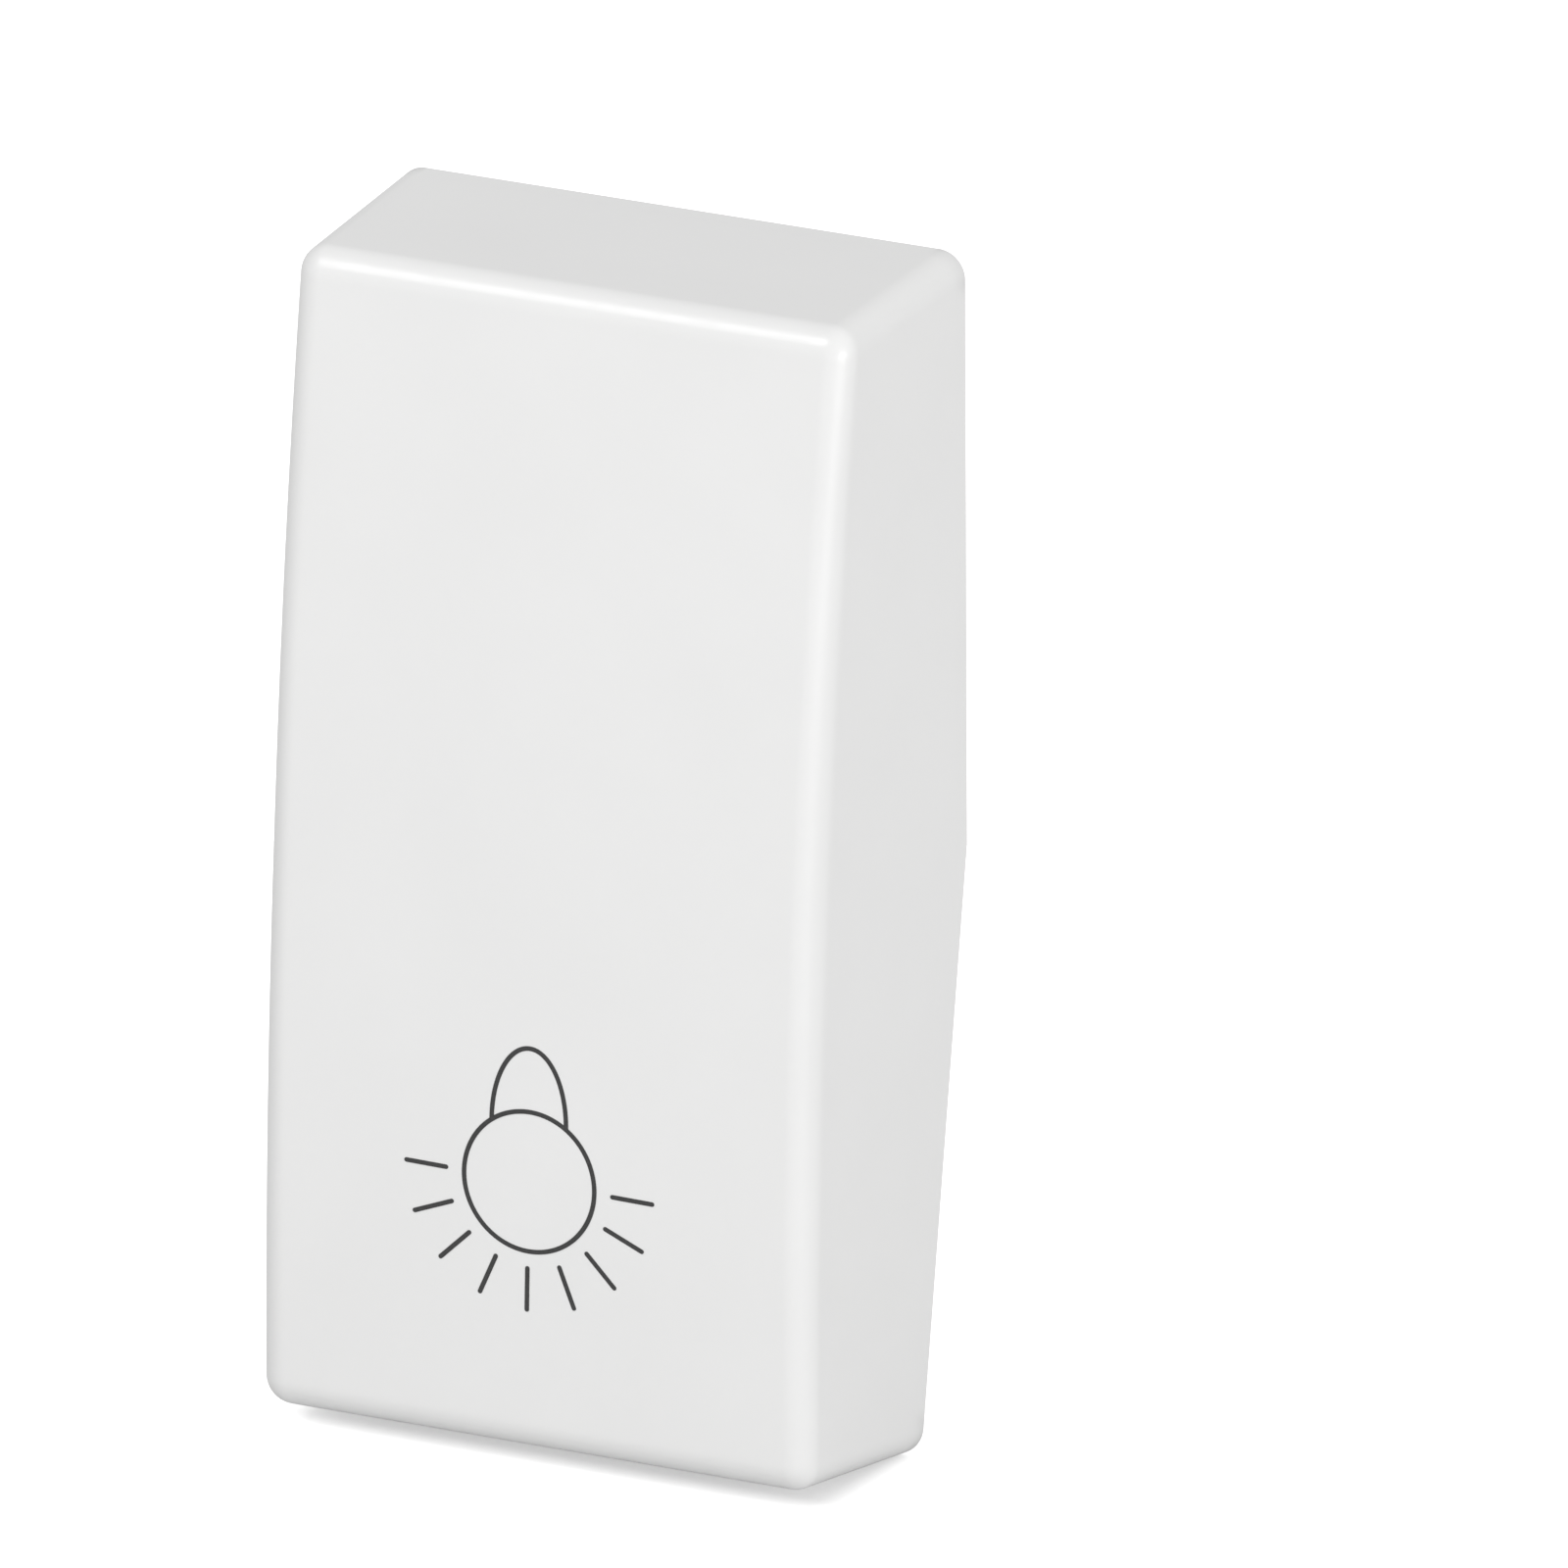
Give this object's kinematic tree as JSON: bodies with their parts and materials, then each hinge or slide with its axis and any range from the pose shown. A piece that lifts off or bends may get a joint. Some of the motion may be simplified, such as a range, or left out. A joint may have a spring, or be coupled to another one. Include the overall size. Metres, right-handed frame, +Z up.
{
  "type": "wall push-button",
  "caption": "Slim one-module wall push-button: a curved white rocker key printed with a lamp symbol, over a battery radio transmitter.",
  "frame": {"origin": "centre of the adhesive pad's back face, in the plane of the wall, half-way up and across the button", "axes": "-Y out of the key's face towards the user, +Y into the wall, +Z up, +X to the right of someone facing the button"},
  "size_m": [0.0224, 0.0133, 0.0446],
  "materials": {
    "key_white": "satin moulded white, fine grain",
    "cradle_grey": "light grey moulded plastic",
    "housing_white": "off-white moulded plastic",
    "plate_grey": "mid grey moulded plastic",
    "cover_grey": "dark grey moulded plastic",
    "foam_dark": "dark double-sided foam tape",
    "silicone_clear": "milky silicone",
    "board_green": "green solder mask on glass-fibre laminate",
    "cell_steel": "nickel-plated steel can",
    "spring_steel": "bright drawn spring wire",
    "pin_steel": "polished steel",
    "screw_steel": "zinc-plated steel",
    "contact_nickel": "nickel-plated spring sheet",
    "switch_black": "black moulded plastic",
    "plunger_white": "white moulded plastic",
    "chip_black": "black epoxy moulding",
    "crystal_steel": "nickel-plated crystal can",
    "ceramic_white": "white ceramic",
    "capacitor_tan": "tan ceramic with tinned ends",
    "resistor_black": "black-topped ceramic with tinned ends",
    "led_clear": "clear epoxy over a yellow phosphor"
  },
  "bodies": {
    "wall": {"wall_plate": "plate_grey", "adhesive_pad": "foam_dark"},
    "module": {"base_housing": "housing_white", "circuit_board": "board_green", "coin_cell": "cell_steel", "battery_contact_negative": "contact_nickel", "battery_contact_positive": "contact_nickel", "radio_chip": "chip_black", "voltage_regulator": "chip_black", "crystal": "crystal_steel", "chip_antenna": "ceramic_white", "status_led": "led_clear", "switch_body": "switch_black", "switch_plate": "contact_nickel", "switch_dome": "contact_nickel", "pairing_switch_body": "switch_black", "board_cover": "cover_grey", "cover_screw_left": "screw_steel", "cover_screw_right": "screw_steel", "return_spring": "spring_steel", "stop_pad_left": "silicone_clear", "stop_pad_right": "silicone_clear", "pivot_pin_left": "pin_steel", "pivot_pin_right": "pin_steel", "capacitor_1": "capacitor_tan", "capacitor_2": "capacitor_tan", "capacitor_3": "capacitor_tan", "capacitor_4": "capacitor_tan", "capacitor_5": "capacitor_tan", "resistor_1": "resistor_black", "resistor_2": "resistor_black", "resistor_3": "resistor_black", "resistor_4": "resistor_black"},
    "rocker": {"rocker_cradle": "cradle_grey"},
    "key": {"rocker_key": "key_white"},
    "plunger": {"switch_plunger": "plunger_white"},
    "pairing": {"pairing_button": "plunger_white"}
  },
  "joints": [
    {"name": "module_release", "type": "slide", "parent": "wall", "child": "module", "axis": [0, 0, 1], "range_m": [0, 0.003]},
    {"name": "key_rock", "type": "hinge", "parent": "module", "child": "rocker", "pos_m": [0, -0.005, 0], "axis": [1, 0, 0], "range_deg": [0, 3], "stiffness_Nm_per_rad": 0.15, "springref_deg": -5.73, "deforming": ["return_spring"]},
    {"name": "plunger_press", "type": "slide", "parent": "module", "child": "plunger", "axis": [0, 1, 0], "range_m": [0, 0.0003], "deforming": ["switch_dome"]},
    {"name": "pairing_press", "type": "slide", "parent": "module", "child": "pairing", "axis": [0, 1, 0], "range_m": [0, 0.00025], "stiffness_N_per_m": 600, "springref_m": -0.002},
    {"name": "key_pull_off", "type": "slide", "parent": "rocker", "child": "key", "axis": [0, -1, 0], "range_m": [0, 0.014]}
  ],
  "couplings": [
    {"joint": "plunger_press", "follows": "key_rock", "m_per_rad": 0.0057}
  ]
}
